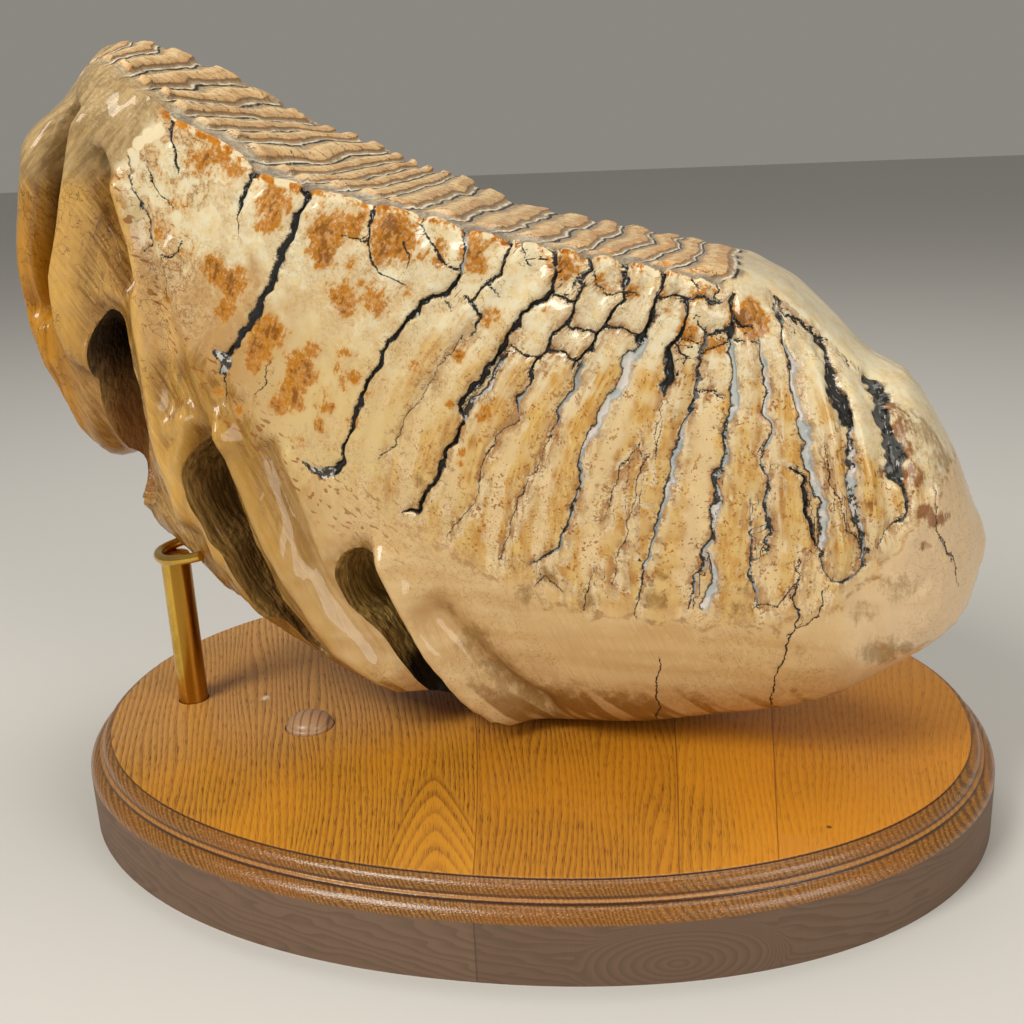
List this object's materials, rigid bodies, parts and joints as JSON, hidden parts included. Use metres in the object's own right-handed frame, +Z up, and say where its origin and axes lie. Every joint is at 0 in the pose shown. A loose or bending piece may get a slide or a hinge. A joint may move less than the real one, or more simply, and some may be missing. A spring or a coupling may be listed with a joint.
{
  "type": "fossil mammoth molar on a stand",
  "caption": "Fossil mammoth molar with ridged chewing face and hollow roots, resting on an oval moulded oak board and a brass cradle post.",
  "frame": {"origin": "centre of the oval board's flat underside, which stands on the table", "axes": "+Z up; +X along the board's long axis, towards the tooth's rounded back end; -Y towards the viewer"},
  "size_m": [0.3206, 0.228, 0.2518],
  "materials": {
    "fossil_tooth": "clear lacquer over cream, tan and rust-stained fossil enamel and dentine",
    "oak": "varnished oak",
    "brass": "polished and lacquered",
    "plug_wood": "varnished"
  },
  "bodies": {
    "root": {"molar": "fossil_tooth", "base_board": "oak", "brass_support": "brass", "hole_plug": "plug_wood"}
  },
  "joints": []
}
